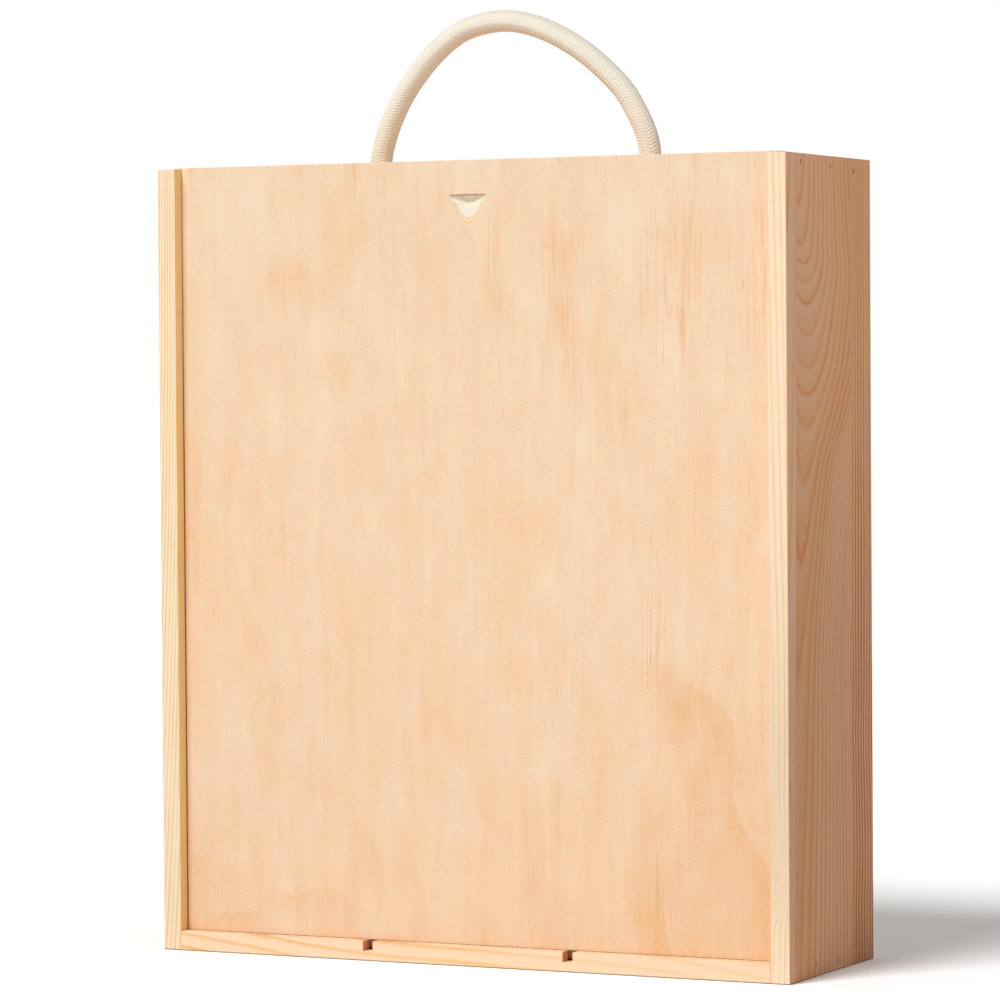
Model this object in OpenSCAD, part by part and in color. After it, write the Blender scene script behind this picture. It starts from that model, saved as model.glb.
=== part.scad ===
/* [Box] */
// Width over the two side boards
box_w = 313; // [270:1:400]
// Depth from the front edges to the back face
box_d = 98; // [86:1:130]
// Height of the side boards
box_h = 360; // [320:1:420]
// Thickness of the side, top and bottom boards
board_t = 9; // [8:0.5:12]
// Thickness of the plywood back
back_t = 4; // [3:0.5:5]
// How far the back reaches into each side board
back_seat = 4.5; // [3:0.1:5.5]
// Play between the back's side edges and the side boards
back_play = 0.2; // [0.1:0.05:0.5]

/* [Side board strips] */
// Width of the front strip at the top
front_strip_top = 12.4; // [11:0.1:20]
// Width of the front strip at the foot
front_strip_foot = 6.4; // [5:0.1:20]
// Width of the rear strip
rear_strip = 25; // [15:0.5:35]

/* [Lid] */
// Thickness of the plywood lid
lid_t = 4; // [3:0.1:6]
// Wood in front of the lid's groove
lip_t = 6; // [4:0.5:8]
// Depth of the groove in each side board
side_groove = 4.5; // [3:0.1:5.5]
// Depth of the groove in the bottom board
foot_groove = 4; // [2:0.1:5]
// Play in front of the lid and behind it
lid_play = 0.25; // [0.15:0.05:0.4]
// Play at the lid's side edges and under its foot
edge_play = 0.3; // [0.2:0.05:0.6]
// How far the lid stands above the side boards
lid_proud = 0.8; // [0:0.1:3]

/* [Thumb notch] */
// Width of the notch at its straight upper edge
notch_w = 18; // [14:0.5:30]
// Height of the notch
notch_h = 13.5; // [10:0.5:25]
// Depth of the notch at its upper edge
notch_deep = 2.6; // [1.5:0.1:2.8]
// Distance from the top of the side boards down to the notch
notch_drop = 15; // [8:0.5:40]

/* [Dividers] */
// Thickness of each divider
divider_t = 4.5; // [3:0.1:6]
// Distance between the middles of the two dividers
divider_gap = 100; // [90:1:110]
// Depth of the grooves that hold the dividers
divider_groove = 4.5; // [3:0.1:5]
// Play round each divider in its grooves
divider_play = 0.25; // [0.2:0.05:0.4]
// How far each divider can shift towards the lid
divider_travel = 1.4; // [0.8:0.1:3]

/* [Rope handle] */
// Thickness of the rope
rope_d = 10; // [8:0.5:12]
// Distance between the two rope holes
hole_gap = 136; // [130:1:160]
// Distance from the front edges to the middle of the rope holes
hole_back = 54; // [45:1:60]
// Play between the rope and its hole
hole_play = 0.2; // [0.1:0.05:0.5]
// Height of the arch from its swing axis to the rope's middle
arch_rise = 60.4; // [45:0.2:80]
// Gap under the round ends of the arch
arch_gap = 0.3; // [0.2:0.05:0.5]
// Width of each knot
knot_d = 25; // [20:0.5:26]
// Length of rope that hangs below each knot
knot_tail = 12; // [6:1:20]

/* [Nails] */
// Thickness of the corner nails
nail_d = 1.4; // [1:0.1:2]
// Length of the corner nails
nail_len = 25; // [18:1:35]
// Width of the nail heads
nail_head_d = 2.1; // [2.1:0.1:3]
// Thickness of the nail heads
nail_head_t = 0.6; // [0.4:0.1:1]
// How deep the heads are sunk into the wood
nail_sink = 0.4; // [0.1:0.1:1]
// Play round each nail
nail_play = 0.05; // [0.02:0.01:0.1]
// Distance of the first nail from the front, at the top
top_nail_front = 17; // [14:1:30]
// Distance of the last nail from the back, at the top
top_nail_rear = 20; // [12:1:30]
// How far behind the halfway point the middle nail sits, at the top
top_nail_shift = 3.5; // [0:0.5:8]
// Distance of the first nail from the front, at the foot
foot_nail_front = 30; // [14:1:35]
// Distance of the last nail from the back, at the foot
foot_nail_rear = 17; // [12:1:30]
// How much higher each nail sits than the one behind it
nail_scatter = 1; // [0:0.1:1.5]
// Thickness of the pins that hold the back
pin_d = 1.2; // [1:0.1:1.6]
// Length of the pins that hold the back
pin_len = 18; // [12:1:25]
// Width of the pin heads
pin_head_d = 1.8; // [1.8:0.1:2.4]
// Distance of the end pins from the side boards
pin_inset = 20; // [12:1:30]

/* [Hidden] */

LEFT = -1;
RIGHT = 1;
CORNER_NAILS = 3;
BACK_PINS = 4;
// How far a cutting shape runs past the face that it opens
over = 1;
$fn = 48;

inner_w = box_w - 2 * board_t;
front_y = -box_d / 2;
back_y = box_d / 2;
back_face = back_y - back_t;
top_z = box_h - board_t;
slot_t = lid_t + 2 * lid_play;
slot_y = front_y + lip_t;
slot_back = slot_y + slot_t;
lid_w = inner_w + 2 * side_groove - 2 * edge_play;
lid_foot = board_t - foot_groove + edge_play;
lid_top = box_h + lid_proud;
lid_y = slot_y + lid_play;
notch_z = box_h - notch_drop;
// Radius of the round cutter whose chord at the upper edge is the notch's width
notch_r = (notch_w * notch_w / 4 + notch_deep * notch_deep) / (2 * notch_deep);
notch_tilt = atan(notch_deep / notch_h);
divider_slot = divider_t + 2 * divider_play;
divider_back = back_face - edge_play;
divider_front = lid_y + lid_t + edge_play + divider_travel;
divider_foot = board_t - divider_groove + divider_play;
divider_top = top_z + divider_groove - divider_play;
hole_y = front_y + hole_back;
hole_d = rope_d + 2 * hole_play;
rope_r = rope_d / 2;
pivot_z = box_h + rope_r + arch_gap;
knot_top = top_z - 0.1;
head_bore_d = nail_head_d + 2 * nail_play;
pin_z = (board_t - divider_groove) / 2;

// Middle line of the arch: millimetres across the box and above its swing axis, from left to right
ARCH = [
    [-68, 0], [-66, 8], [-62.5, 17], [-56.5, 28], [-48.5, 38.5], [-38.5, 48.5], [-26.5, 56.5],
    [-13.5, 60], [-1, 60.4], [11.5, 57.6], [24, 52.2], [36, 44.8], [46.5, 36.2], [55.5, 27],
    [62, 16.5], [66.2, 7.5], [68, 0]
];
ARCH_HALF = 68;
ARCH_TOP = 60.4;
ARCH_STEPS = 2;
ARCH_SIDES = 12;
CAP_RINGS = 3;

WOOD = "#e6bf8f";
WOOD_PALE = "#f0cfa4";
WOOD_DARK = "#d9ab78";
PLYWOOD = "#f2cfa3";
ROPE = "#efe3cf";
STEEL = "#6d6a66";

// A point of the arch's list, with the end points repeated past the ends
function arch_knot(i) = let (p = ARCH[max(0, min(len(ARCH) - 1, i))])
    [p[0] * hole_gap / 2 / ARCH_HALF, p[1] * arch_rise / ARCH_TOP];

// A smooth curve from b to c, where t runs from 0 to 1
function between(a, b, c, d, t) =
    0.5 * (2 * b + (c - a) * t + (2 * a - 5 * b + 4 * c - d) * t * t + (3 * b - a - 3 * c + d) * t * t * t);

function arch_at(s) = let (i = min(floor(s), len(ARCH) - 2))
    between(arch_knot(i - 1), arch_knot(i), arch_knot(i + 1), arch_knot(i + 2), s - i);

function unit(v) = v / norm(v);

// The rings of the rope's surface: [middle, direction, radius]
function arch_rings() = let (
        last = len(ARCH) - 1,
        run = [for (k = [0 : last * ARCH_STEPS]) arch_at(k / ARCH_STEPS)],
        n = len(run) - 1,
        start = unit(run[1] - run[0]),
        end = unit(run[n] - run[n - 1])
    ) concat(
        [for (k = [CAP_RINGS : -1 : 1]) let (a = 80 * k / CAP_RINGS)
            [run[0] - start * rope_r * sin(a), start, rope_r * cos(a)]],
        [for (k = [0 : n]) [run[k], unit(run[min(n, k + 1)] - run[max(0, k - 1)]), rope_r]],
        [for (k = [1 : CAP_RINGS]) let (a = 80 * k / CAP_RINGS)
            [run[n] + end * rope_r * sin(a), end, rope_r * cos(a)]]
    );

// One ring's corners, in a plane square to the rope
function ring_points(ring) = [
    for (k = [0 : ARCH_SIDES - 1]) let (a = 360 * k / ARCH_SIDES, out = [ring[1][1], -ring[1][0]])
        [ring[0][0] + ring[2] * cos(a) * out[0], ring[2] * sin(a), ring[0][1] + ring[2] * cos(a) * out[1]]
];

// Triangles between each ring and the next one, and a flat fan on both ends
function tube_faces(rings, sides) = concat(
    [for (r = [0 : rings - 2], k = [0 : sides - 1]) let (a = r * sides + k, b = r * sides + (k + 1) % sides)
        each [[a, a + sides, b], [b, a + sides, b + sides]]],
    [[for (k = [0 : sides - 1]) k]],
    [[for (k = [sides - 1 : -1 : 0]) (rings - 1) * sides + k]]
);

// Height of one corner nail, where the first one is the nearest to the front
function nail_rise(i) = nail_scatter * ((CORNER_NAILS - 1) / 2 - i);
function nail_y(i, front, rear, shift) = let (run = i / (CORNER_NAILS - 1))
    front_y + front + (box_d - front - rear) * run + shift * (1 - abs(2 * run - 1));

// One headed nail along +X, with its head's outer face at x = 0
module nail(d, length, head_d, head_t) {
    rotate([0, 90, 0]) {
        cylinder(d = head_d, h = head_t);
        cylinder(d = d, h = length);
    }
}

// The hole of one corner nail along +X from the board's face, open to the outside
module nail_bore() {
    rotate([0, 90, 0]) {
        translate([0, 0, -over])
            cylinder(d = head_bore_d, h = over + nail_sink + nail_head_t + nail_play);
        cylinder(d = nail_d + 2 * nail_play, h = nail_sink + nail_len + nail_play);
    }
}

// Puts its children at the corner nails of one side, turned inwards from the side board's face
module at_corner_nails(side, front, rear, shift, middle_z, sink) {
    for (i = [0 : CORNER_NAILS - 1])
        translate([side * (box_w / 2 - sink), nail_y(i, front, rear, shift), middle_z + nail_rise(i)])
            mirror([side > 0 ? 1 : 0, 0, 0])
                children();
}

module at_top_nails(side, sink) {
    at_corner_nails(side, top_nail_front, top_nail_rear, top_nail_shift, box_h - board_t / 2, sink) children();
}

module at_foot_nails(side, sink) {
    at_corner_nails(side, foot_nail_front, foot_nail_rear, 0, board_t / 2, sink) children();
}

// Puts its children at the back's pins, turned to run forward from the back face
module at_back_pins(z) {
    reach = inner_w / 2 - pin_inset;
    for (i = [0 : BACK_PINS - 1])
        translate([-reach + 2 * reach * i / (BACK_PINS - 1), back_y, z])
            rotate([0, 0, -90])
                children();
}

module pin_bore() {
    rotate([0, 90, 0]) {
        translate([0, 0, -over])
            cylinder(d = pin_head_d + 2 * nail_play, h = over + nail_sink + nail_head_t + nail_play);
        cylinder(d = pin_d + 2 * nail_play, h = nail_sink + pin_len + nail_play);
    }
}

// The two grooves that hold the dividers, cut from z = 0 upwards
module divider_slots() {
    for (side = [LEFT, RIGHT])
        translate([side * divider_gap / 2 - divider_slot / 2, front_y - over, 0])
            cube([divider_slot, box_d + 2 * over, divider_groove + over]);
}

// A whole right-hand side board, before it is divided into its glued strips
module side_board() {
    difference() {
        translate([inner_w / 2, front_y, 0])
            cube([board_t, box_d, box_h]);
        translate([inner_w / 2 - over, slot_y, -over])
            cube([side_groove + over, slot_t, box_h + 2 * over]);
        translate([inner_w / 2 - over, back_face, -over])
            cube([back_seat + over, back_t + over, box_h + 2 * over]);
        at_top_nails(RIGHT, 0)
            nail_bore();
        at_foot_nails(RIGHT, 0)
            nail_bore();
    }
}

// One strip of a side board: widths from the front at the foot and at the top, for both its edges
module side_strip(side, foot_from, foot_to, top_from, top_to) {
    mirror([side < 0 ? 1 : 0, 0, 0])
        intersection() {
            side_board();
            translate([inner_w / 2 - over, front_y, 0])
                rotate([90, 0, 90])
                    linear_extrude(height = board_t + 2 * over)
                        polygon([[foot_from, 0], [foot_to, 0], [top_to, box_h], [top_from, box_h]]);
        }
}

module side_front_strip(side) {
    color(WOOD_PALE)
        side_strip(side, 0, front_strip_foot, 0, front_strip_top);
}

module side_core(side) {
    core_end = box_d - rear_strip;
    color(WOOD)
        side_strip(side, front_strip_foot, core_end, front_strip_top, core_end);
}

module side_rear_strip(side) {
    color(WOOD_DARK)
        side_strip(side, box_d - rear_strip, box_d, box_d - rear_strip, box_d);
}

module top_board() {
    color(WOOD)
        difference() {
            translate([-inner_w / 2, slot_back, top_z])
                cube([inner_w, back_face - slot_back, board_t]);
            translate([0, 0, top_z - over])
                divider_slots();
            for (side = [LEFT, RIGHT])
                translate([side * hole_gap / 2, hole_y, top_z - over])
                    cylinder(d = hole_d, h = board_t + 2 * over);
            for (side = [LEFT, RIGHT])
                at_top_nails(side, 0)
                    nail_bore();
            at_back_pins(box_h - pin_z)
                pin_bore();
        }
}

module bottom_board() {
    color(WOOD_PALE)
        difference() {
            translate([-inner_w / 2, front_y, 0])
                cube([inner_w, back_face - front_y, board_t]);
            translate([-inner_w / 2 - over, slot_y, board_t - foot_groove])
                cube([inner_w + 2 * over, slot_t, foot_groove + over]);
            translate([0, 0, board_t - divider_groove])
                divider_slots();
            for (side = [LEFT, RIGHT])
                at_foot_nails(side, 0)
                    nail_bore();
            at_back_pins(pin_z)
                pin_bore();
        }
}

module back_panel() {
    panel_w = inner_w + 2 * back_seat - 2 * back_play;
    color(PLYWOOD)
        difference() {
            translate([-panel_w / 2, back_face, 0])
                cube([panel_w, back_t, box_h]);
            at_back_pins(pin_z)
                pin_bore();
            at_back_pins(box_h - pin_z)
                pin_bore();
        }
}

// The cutter of the thumb notch: a round bar that leans into the lid and stops at the upper edge
module notch_cutter() {
    intersection() {
        translate([0, lid_y + notch_deep - notch_r / cos(notch_tilt), notch_z])
            rotate([-notch_tilt, 0, 0])
                cylinder(r = notch_r, h = 4 * notch_h, center = true, $fn = 96);
        translate([-notch_w, lid_y - over, notch_z - 2 * notch_h])
            cube([2 * notch_w, lid_t + over, 2 * notch_h]);
    }
}

module sliding_lid() {
    color(PLYWOOD)
        difference() {
            translate([-lid_w / 2, lid_y, lid_foot])
                cube([lid_w, lid_t, lid_top - lid_foot]);
            notch_cutter();
        }
}

module divider(side) {
    color(WOOD_DARK)
        translate([side * divider_gap / 2 - divider_t / 2, divider_front, divider_foot])
            cube([divider_t, divider_back - divider_front, divider_top - divider_foot]);
}

module rope_arch() {
    rings = arch_rings();
    color(ROPE)
        translate([0, hole_y, pivot_z])
            polyhedron(
                points = [for (ring = rings) each ring_points(ring)],
                faces = tube_faces(len(rings), ARCH_SIDES)
            );
}

module rope_in_hole(side) {
    color(ROPE)
        translate([side * hole_gap / 2, hole_y, knot_top])
            cylinder(d = rope_d, h = box_h - knot_top);
}

module rope_knot(side) {
    middle = knot_top - knot_d / 2 + 0.6;
    color(ROPE)
        translate([side * hole_gap / 2, hole_y, 0])
            difference() {
                union() {
                    translate([0, 0, middle])
                        sphere(d = knot_d);
                    translate([0, 0, middle - knot_d / 2 - knot_tail])
                        cylinder(d = rope_d, h = knot_d / 2 + knot_tail);
                }
                translate([-knot_d, -knot_d, knot_top])
                    cube([2 * knot_d, 2 * knot_d, knot_d]);
            }
}

module top_nails(side) {
    color(STEEL)
        at_top_nails(side, nail_sink)
            nail(nail_d, nail_len, nail_head_d, nail_head_t);
}

module foot_nails(side) {
    color(STEEL)
        at_foot_nails(side, nail_sink)
            nail(nail_d, nail_len, nail_head_d, nail_head_t);
}

module back_pins(z) {
    color(STEEL)
        translate([0, -nail_sink, 0])
            at_back_pins(z)
                nail(pin_d, pin_len, pin_head_d, nail_head_t);
}

side_front_strip(LEFT);  // left_side_front_strip
side_core(LEFT);  // left_side_core
side_rear_strip(LEFT);  // left_side_rear_strip
side_front_strip(RIGHT);  // right_side_front_strip
side_core(RIGHT);  // right_side_core
side_rear_strip(RIGHT);  // right_side_rear_strip
top_board();
bottom_board();
back_panel();
sliding_lid();
divider(LEFT);  // divider_left
divider(RIGHT);  // divider_right
rope_arch();
rope_in_hole(LEFT);  // rope_in_left_hole
rope_in_hole(RIGHT);  // rope_in_right_hole
rope_knot(LEFT);  // left_rope_knot
rope_knot(RIGHT);  // right_rope_knot
top_nails(LEFT);  // top_left_nails
top_nails(RIGHT);  // top_right_nails
foot_nails(LEFT);  // bottom_left_nails
foot_nails(RIGHT);  // bottom_right_nails
back_pins(box_h - pin_z);  // back_pins_top
back_pins(pin_z);  // back_pins_bottom
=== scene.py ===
"""A wooden wine box with a sliding plywood lid and a rope handle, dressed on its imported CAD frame.

Every class below is one sub-assembly of the box. Its fields are sizes in millimetres, its build method
makes the meshes and its finish dresses them. Boards are eased copies of their CAD solids; the rope, its
knots and the nails grow from Geometry Nodes. Woods are worked out from growth rings, so that one field
gives the arches on a face, the stripes on an edge and the arcs on an end.
"""

import logging
from dataclasses import dataclass, field
from enum import Enum
from math import cos, pi, radians, sin
from typing import Sequence, Union

import bmesh
import bpy
from bpy.types import CurveMapping, Material, Mesh, NodeSocket, NodeTree, Object
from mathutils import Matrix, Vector


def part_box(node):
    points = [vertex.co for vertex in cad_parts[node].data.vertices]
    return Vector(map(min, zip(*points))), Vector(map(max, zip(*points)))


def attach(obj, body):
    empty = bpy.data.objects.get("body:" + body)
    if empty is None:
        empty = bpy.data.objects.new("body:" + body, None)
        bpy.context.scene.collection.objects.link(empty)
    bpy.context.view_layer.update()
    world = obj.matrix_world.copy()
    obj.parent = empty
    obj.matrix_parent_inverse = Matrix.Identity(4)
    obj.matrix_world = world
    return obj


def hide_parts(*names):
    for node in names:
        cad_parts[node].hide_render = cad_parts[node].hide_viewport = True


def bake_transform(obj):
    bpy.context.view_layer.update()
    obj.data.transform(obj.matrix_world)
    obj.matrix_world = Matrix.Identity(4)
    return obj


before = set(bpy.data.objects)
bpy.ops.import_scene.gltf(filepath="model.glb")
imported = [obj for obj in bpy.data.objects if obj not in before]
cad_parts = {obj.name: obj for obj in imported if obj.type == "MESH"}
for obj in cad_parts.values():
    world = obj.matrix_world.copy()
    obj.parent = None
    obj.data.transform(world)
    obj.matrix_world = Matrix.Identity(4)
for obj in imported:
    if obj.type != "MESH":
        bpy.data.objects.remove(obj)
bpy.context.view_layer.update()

LOG = logging.getLogger("wine_box")
MM = 0.001
PER_METRE = 1000.0

Colour = tuple[float, float, float]
Place = tuple[float, float, float]
Points = tuple[tuple[float, float], ...]
Number = Union[float, "Value"]
Spot = tuple["Value", "Value", "Value"]


class Side(Enum):
    """A side of the box, seen from the front."""

    LEFT = -1
    RIGHT = 1

    @property
    def label(self) -> str:
        """The side's name in small letters."""
        return self.name.lower()


class Face(Enum):
    """A flat side of a board: its axis, and whether it is the one further along that axis."""

    LEFT = (0, False)
    RIGHT = (0, True)
    FRONT = (1, False)
    BACK = (1, True)
    FOOT = (2, False)
    TOP = (2, True)


@dataclass(frozen=True)
class BoxSizes:
    """The sizes that several pieces share, in millimetres, as part.scad has them."""

    width: float = 313.0
    depth: float = 98.0
    height: float = 360.0
    board: float = 9.0
    front_strip_top: float = 12.4
    front_strip_foot: float = 6.4
    rear_strip: float = 25.0
    groove_front: float = 6.0
    groove_back: float = 10.5
    groove_bite: float = 5.0
    lid_face: float = -42.75
    lid_top: float = 361.0
    notch_z: float = 345.0
    notch_reach: float = 9.0
    slot_x: float = 50.0
    hole_x: float = 68.0
    hole_y: float = 5.0
    rope: float = 10.0
    pivot_z: float = 365.3
    nail_sink: float = 0.4


SIZES = BoxSizes()

# The heights, in millimetres, between which the painted shade in the lid's groove fades.
GROOVE_SHADE_FADES = (220.0, 350.0)


class Value:
    """A number that travels through a node tree, so that shader and geometry maths reads as Python."""

    def __init__(self, bench: "Bench", socket: NodeSocket) -> None:
        """Wraps a socket of the bench's tree."""
        self.bench = bench
        self.socket = socket

    def math(self, operation: str, *others: Number, first: Number | None = None) -> "Value":
        """Adds one Math node.

        Args:
            operation: The Math node's operation.
            others: What follows this value in the node.
            first: What stands before this value instead, for reflected operators.

        Returns:
            The node's result.
        """
        terms = ([] if first is None else [first]) + [self, *others]
        return self.bench.node("ShaderNodeMath", {"operation": operation}, dict(enumerate(terms)))

    def __add__(self, other: Number) -> "Value":
        """Sum."""
        return self.math("ADD", other)

    __radd__ = __add__

    def __mul__(self, other: Number) -> "Value":
        """Product."""
        return self.math("MULTIPLY", other)

    __rmul__ = __mul__

    def __sub__(self, other: Number) -> "Value":
        """Difference."""
        return self.math("SUBTRACT", other)

    def __rsub__(self, other: Number) -> "Value":
        """Reflected difference."""
        return self.math("SUBTRACT", first=other)

    def __truediv__(self, other: Number) -> "Value":
        """Quotient."""
        return self.math("DIVIDE", other)

    def __rtruediv__(self, other: Number) -> "Value":
        """Reflected quotient."""
        return self.math("DIVIDE", first=other)

    def __pow__(self, other: Number) -> "Value":
        """Power."""
        return self.math("POWER", other)

    def __abs__(self) -> "Value":
        """Size without its sign."""
        return self.math("ABSOLUTE")

    def ramp(self, start: Number, end: Number, low: Number = 0.0, high: Number = 1.0) -> "Value":
        """Eases from low to high while this value runs from start to end.

        Args:
            start: Where the ease begins.
            end: Where it ends.
            low: The result before start.
            high: The result after end.

        Returns:
            The eased value.
        """
        inputs = {0: self, 1: start, 2: end, 3: low, 4: high}
        return self.bench.node("ShaderNodeMapRange", {"interpolation_type": "SMOOTHSTEP"}, inputs)

    def fall(self, start: Number, end: Number) -> "Value":
        """Eases from one to nothing while this value runs from start to end."""
        return self.ramp(start, end, 1.0, 0.0)

    def bump_at(self, centre: Number, reach: float) -> "Value":
        """One at centre, easing to nothing at reach on both sides."""
        return abs(self - centre).fall(0.0, reach)

    def curve(self, points: Points) -> "Value":
        """Follows a smooth curve through given points.

        Args:
            points: Pairs of this value, from 0 to 1, and the result there.

        Returns:
            The curve's value.
        """
        low = min(v for _, v in points)
        reach = max(max(v for _, v in points) - low, 1e-6)
        stops = [(u, (v - low) / reach) for u, v in points]
        return self.bench.node("ShaderNodeFloatCurve", {"points": stops}, {"Value": self}) * reach + low


class Bench:
    """A node tree under construction, with one method that makes every node."""

    def __init__(self, tree: NodeTree) -> None:
        """Starts on an empty tree."""
        self.tree = tree

    def node(
        self, kind: str, settings: dict | None = None, inputs: dict | None = None, output: int = 0
    ) -> Value:
        """Makes one node.

        Args:
            kind: The node's type.
            settings: Its own settings, set first. "points" fills a curve.
            inputs: Values, or wrapped sockets to link, by the input's name or number.
            output: The number of the output to hand back.

        Returns:
            The wrapped output.
        """
        made = self.tree.nodes.new(kind)
        for name, setting in (settings or {}).items():
            if name == "points":
                self._fill_curve(made.mapping, setting)
            else:
                setattr(made, name, setting)
        for name, given in (inputs or {}).items():
            if isinstance(given, Value):
                self.tree.links.new(given.socket, made.inputs[name])
            else:
                made.inputs[name].default_value = given
        return Value(self, made.outputs[output]) if made.outputs else Value(self, None)

    @staticmethod
    def _fill_curve(mapping: CurveMapping, points: Sequence[tuple[float, float]]) -> None:
        """Puts points on the first curve of a mapping.

        Args:
            mapping: The node's mapping, with its two first points.
            points: All the points, in order.
        """
        curve = mapping.curves[0]
        for _ in range(len(points) - 2):
            curve.points.new(0.5, 0.5)
        for knot, point in zip(curve.points, points):
            knot.location = point
            knot.handle_type = "AUTO"
        mapping.update()

    def split(self, vector: Value) -> Spot:
        """Takes a vector apart.

        Args:
            vector: The vector.

        Returns:
            Its three numbers.
        """
        first = self.node("ShaderNodeSeparateXYZ", inputs={0: vector})
        outputs = first.socket.node.outputs
        return first, Value(self, outputs[1]), Value(self, outputs[2])

    def join(self, x: Number, y: Number, z: Number) -> Value:
        """A vector of three numbers."""
        return self.node("ShaderNodeCombineXYZ", inputs={0: x, 1: y, 2: z})

    def noise(
        self, place: tuple[Number, Number, Number], detail: float = 2.0, rough: float = 0.5,
        twist: float = 0.0,
    ) -> Value:
        """Soft noise about nought.

        Args:
            place: The place, each number divided by the size of a lump that way.
            detail: How many finer layers it has.
            rough: How much the finer layers count.
            twist: How far it is distorted.

        Returns:
            The noise, from about -0.5 to 0.5.
        """
        inputs = {"Vector": self.join(*place), "Scale": 1.0, "Detail": detail, "Roughness": rough,
                  "Distortion": twist}
        return self.node("ShaderNodeTexNoise", {"noise_dimensions": "3D"}, inputs) - 0.5

    def chance(self, number: Value) -> Value:
        """A fixed random number from 0 to 1 for each whole number."""
        return self.node("ShaderNodeTexWhiteNoise", {"noise_dimensions": "1D"}, {"W": number})

    def scale(self, vector: Value, amount: Number) -> Value:
        """A colour or a vector times a number."""
        return self.node("ShaderNodeVectorMath", {"operation": "SCALE"}, {0: vector, "Scale": amount})

    def blend(self, amount: Number, first: Value | Colour, second: Value | Colour) -> Value:
        """Mixes two colours.

        Args:
            amount: How much of the second colour, from 0 to 1.
            first: The colour at 0.
            second: The colour at 1.

        Returns:
            The mixed colour.
        """
        ends = [(*c, 1.0) if isinstance(c, tuple) else c for c in (first, second)]
        settings = {"data_type": "RGBA", "blend_type": "MIX", "clamp_factor": True}
        return self.node("ShaderNodeMix", settings, {0: amount, 6: ends[0], 7: ends[1]}, output=2)

    def glaze(self, colour: Value, *coats: tuple[Number, Value | Colour]) -> Value:
        """Lays coats over a colour, one after another.

        Args:
            colour: The colour below.
            coats: Pairs of how much of a coat shows, from 0 to 1, and its colour.

        Returns:
            The colour on top.
        """
        for amount, coat in coats:
            colour = self.blend(amount, colour, coat)
        return colour


class Paint(Bench):
    """A material under construction."""

    def __init__(self, name: str) -> None:
        """Starts an empty material.

        Args:
            name: The material's name.
        """
        self.material = bpy.data.materials.new(name)
        self.material.use_nodes = True
        self.material.node_tree.nodes.clear()
        super().__init__(self.material.node_tree)

    def millimetres(self) -> Spot:
        """Where the surface is in the box's frame, in millimetres."""
        return self.split(self.scale(self.node("ShaderNodeTexCoord", output=3), PER_METRE))

    def facing(self) -> Spot:
        """How squarely the surface faces along each axis, from 0 to 1."""
        x, y, z = self.split(self.node("ShaderNodeTexCoord", output=1))
        return abs(x), abs(y), abs(z)

    def finish(self, colour: Value, rough: Number, height: Value, lift: float, **gloss: float) -> Material:
        """Ends the tree in one Principled shader.

        Args:
            colour: The base colour.
            rough: The roughness.
            height: The relief, from 0 to 1.
            lift: How far a height of 1 stands out, in millimetres.
            gloss: Constants for the shader's other sockets.

        Returns:
            The material.
        """
        relief = {"Strength": 1.0, "Distance": lift * MM, "Height": height}
        normal = self.node("ShaderNodeBump", None, relief)
        inputs = {"Base Color": colour, "Roughness": rough, "Normal": normal}
        inputs.update({name.replace("_", " "): amount for name, amount in gloss.items()})
        shader = self.node("ShaderNodeBsdfPrincipled", None, inputs)
        self.node("ShaderNodeOutputMaterial", None, {"Surface": shader})
        return self.material


def srgb(red: int, green: int, blue: int) -> Colour:
    """A screen colour as the linear one that shaders take.

    Args:
        red: From 0 to 255.
        green: From 0 to 255.
        blue: From 0 to 255.

    Returns:
        The linear colour.
    """
    parts = [c / 255 for c in (red, green, blue)]
    return tuple(c / 12.92 if c <= 0.04045 else ((c + 0.055) / 1.055) ** 2.4 for c in parts)


class Cut(Enum):
    """How a board was cut: which way its face, its thickness and its grain lie in the box."""

    RIGHT_SIDE = "right side"
    LEFT_SIDE = "left side"
    FOOT_LIP = "foot"
    TOP_FACE = "top"

    def read(self, spot: Spot) -> Spot:
        """The spot as the board has it.

        Args:
            spot: Millimetres across the box, towards its back and above its foot.

        Returns:
            Millimetres across the face, below the face, and along the grain.
        """
        x, y, z = spot
        if self is Cut.RIGHT_SIDE:
            return y + SIZES.depth / 2, SIZES.width / 2 - x, z
        if self is Cut.LEFT_SIDE:
            return y + SIZES.depth / 2, x + SIZES.width / 2, z
        if self is Cut.FOOT_LIP:
            return z + 0.0, y + SIZES.depth / 2, x + SIZES.width / 2
        return y + SIZES.depth / 2, SIZES.height - z, x + SIZES.width / 2

    @property
    def length(self) -> float:
        """Millimetres of board along the grain."""
        return SIZES.height if self in (Cut.RIGHT_SIDE, Cut.LEFT_SIDE) else SIZES.width

    @property
    def end_axis(self) -> int:
        """The axis that the grain follows."""
        return 2 if self in (Cut.RIGHT_SIDE, Cut.LEFT_SIDE) else 0


@dataclass(frozen=True)
class Heart:
    """The tree's heart as a board's face sees it, from the board's start (0) to its end (1).

    middle is the place across the face, in millimetres, that the arches are centred on; rings counts the
    rings between the heart and the face there; spread is rings per millimetre.
    """

    middle: Points
    rings: Points
    spread: Points


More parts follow.
